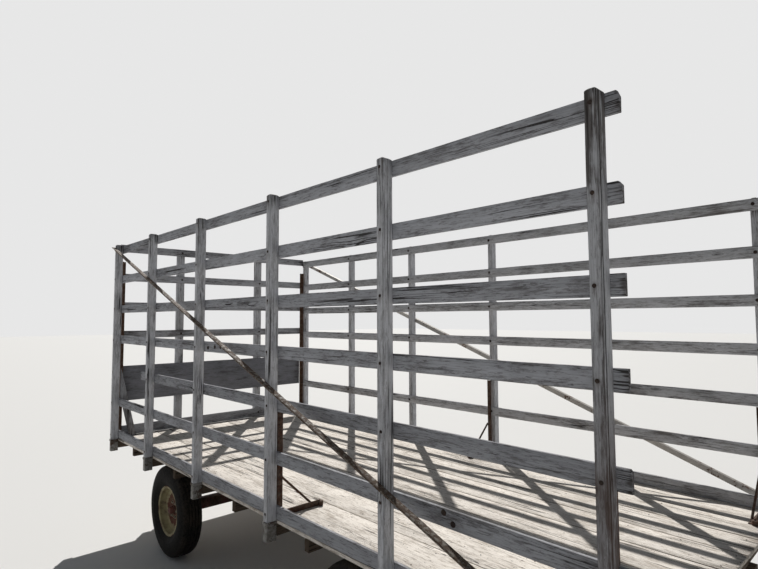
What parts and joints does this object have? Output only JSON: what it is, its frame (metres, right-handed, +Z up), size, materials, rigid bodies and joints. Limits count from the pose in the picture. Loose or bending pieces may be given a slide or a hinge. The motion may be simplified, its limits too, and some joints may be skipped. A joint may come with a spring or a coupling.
{
  "type": "hay wagon",
  "caption": "Flat plank deck wagon with tall slatted racks on three sides, steered front axle and a tow tongue.",
  "frame": {"origin": "on the floor, under the middle of the whole wagon with its tongue lowered", "axes": "+X towards the tongue's hitch, +Y to the wagon's left, +Z up"},
  "size_m": [6.769, 2.654, 2.989],
  "materials": {
    "deck_wood": "weathered bare planks",
    "rack_wood": "worn pale paint",
    "sill_wood": "bare timber",
    "panel_board": "weathered board",
    "rusty_steel": "rusty",
    "pocket_steel": "worn paint",
    "gear_paint": "faded paint",
    "pin_steel": "dull, rusty",
    "rim_paint": "worn paint",
    "tyre": "dusty rubber"
  },
  "bodies": {
    "wagon": {"deck_planks": "deck_wood", "cross_sills": "sill_wood", "long_sills": "sill_wood", "rear_axle_beam": "gear_paint", "front_axle_beam": "gear_paint", "rear_bolster": "gear_paint", "front_bolster": "gear_paint", "reach_pole": "gear_paint", "rear_hounds": "gear_paint", "rear_stake_pockets": "pocket_steel", "rear_rack_posts": "rack_wood", "rear_rack_boards": "rack_wood", "rear_panel": "panel_board", "rear_corner_angles": "rusty_steel", "rear_corner_strut": "rack_wood", "right_stake_pockets": "pocket_steel", "right_rack_posts": "rack_wood", "right_rack_boards": "rack_wood", "right_diagonal_brace": "rusty_steel", "right_knee_brackets": "rusty_steel", "left_stake_pockets": "pocket_steel", "left_rack_posts": "rack_wood", "left_rack_boards": "rack_wood", "left_diagonal_brace": "rusty_steel", "left_knee_brackets": "rusty_steel"},
    "steering_yoke": {"steering_yoke": "gear_paint"},
    "tongue": {"tongue_tube": "gear_paint", "hitch_clevis": "rusty_steel"},
    "right_knuckle": {"right_knuckle": "gear_paint"},
    "right_tie_rod": {"right_tie_rod": "gear_paint"},
    "front_right_wheel": {"front_right_tyre": "tyre", "front_right_rim": "rim_paint", "front_right_hub": "pin_steel"},
    "rear_right_wheel": {"rear_right_tyre": "tyre", "rear_right_rim": "rim_paint", "rear_right_hub": "pin_steel"},
    "left_knuckle": {"left_knuckle": "gear_paint"},
    "left_tie_rod": {"left_tie_rod": "gear_paint"},
    "front_left_wheel": {"front_left_tyre": "tyre", "front_left_rim": "rim_paint", "front_left_hub": "pin_steel"},
    "rear_left_wheel": {"rear_left_tyre": "tyre", "rear_left_rim": "rim_paint", "rear_left_hub": "pin_steel"}
  },
  "joints": [
    {"name": "tongue_steer", "type": "hinge", "parent": "wagon", "child": "steering_yoke", "pos_m": [0.73452, 0, 0.4025], "axis": [0, 0, 1], "range_deg": [-36, 36]},
    {"name": "tongue_lift", "type": "hinge", "parent": "steering_yoke", "child": "tongue", "pos_m": [0.99652, 0, 0.4025], "axis": [0, -1, 0], "range_deg": [0, 16]},
    {"name": "right_knuckle_turn", "type": "hinge", "parent": "wagon", "child": "right_knuckle", "pos_m": [0.65152, -0.88, 0.4025], "axis": [0, 0, 1], "range_deg": [-24, 24]},
    {"name": "right_tie_rod_turn", "type": "hinge", "parent": "right_knuckle", "child": "right_tie_rod", "pos_m": [0.90152, -0.88, 0.453], "axis": [0, 0, 1], "range_deg": [-24, 24]},
    {"name": "left_knuckle_turn", "type": "hinge", "parent": "wagon", "child": "left_knuckle", "pos_m": [0.65152, 0.88, 0.4025], "axis": [0, 0, 1], "range_deg": [-24, 24]},
    {"name": "left_tie_rod_turn", "type": "hinge", "parent": "left_knuckle", "child": "left_tie_rod", "pos_m": [0.90152, 0.88, 0.453], "axis": [0, 0, 1], "range_deg": [-24, 24]},
    {"name": "front_right_wheel_spin", "type": "hinge", "parent": "right_knuckle", "child": "front_right_wheel", "pos_m": [0.65152, -1.0565, 0.4025], "axis": [0, 1, 0], "continuous": true},
    {"name": "rear_right_wheel_spin", "type": "hinge", "parent": "wagon", "child": "rear_right_wheel", "pos_m": [-2.02848, -1.0565, 0.4025], "axis": [0, 1, 0], "continuous": true},
    {"name": "front_left_wheel_spin", "type": "hinge", "parent": "left_knuckle", "child": "front_left_wheel", "pos_m": [0.65152, 1.0565, 0.4025], "axis": [0, 1, 0], "continuous": true},
    {"name": "rear_left_wheel_spin", "type": "hinge", "parent": "wagon", "child": "rear_left_wheel", "pos_m": [-2.02848, 1.0565, 0.4025], "axis": [0, 1, 0], "continuous": true}
  ],
  "couplings": [
    {"joint": "right_knuckle_turn", "follows": "tongue_steer", "ratio": 0.65},
    {"joint": "right_tie_rod_turn", "follows": "tongue_steer", "ratio": -0.65},
    {"joint": "left_knuckle_turn", "follows": "tongue_steer", "ratio": 0.65},
    {"joint": "left_tie_rod_turn", "follows": "tongue_steer", "ratio": -0.65}
  ]
}
